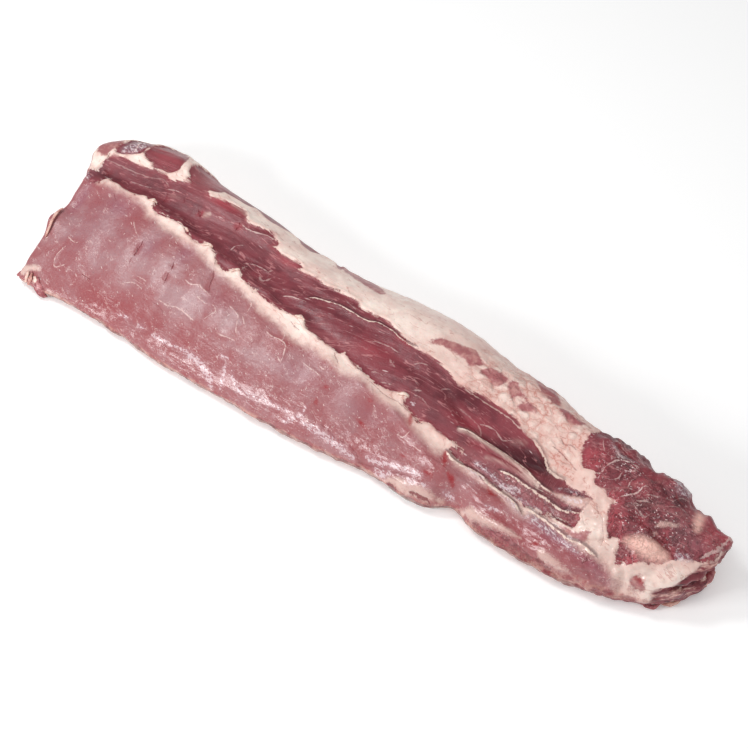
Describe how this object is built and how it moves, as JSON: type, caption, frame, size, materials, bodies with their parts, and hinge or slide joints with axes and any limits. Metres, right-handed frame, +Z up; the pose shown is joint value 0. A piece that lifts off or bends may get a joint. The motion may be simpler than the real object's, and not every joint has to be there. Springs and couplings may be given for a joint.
{
  "type": "boneless pork loin",
  "caption": "Whole raw boneless pork loin lying bone side up, with a pale rib face, a scalloped cream seam, a dark strip of lean and a cut blade end.",
  "frame": {"origin": "centre of the bounding box on the ground, under the middle of the loin", "axes": "+X along the loin towards its blade end, +Y across it towards the back, +Z up"},
  "size_m": [0.605, 0.1768, 0.065],
  "materials": {
    "raw_pork": "moist raw pork: pale pink rib face, dark red lean and cream fat"
  },
  "bodies": {
    "root": {"pork_loin": "raw_pork"}
  },
  "joints": []
}
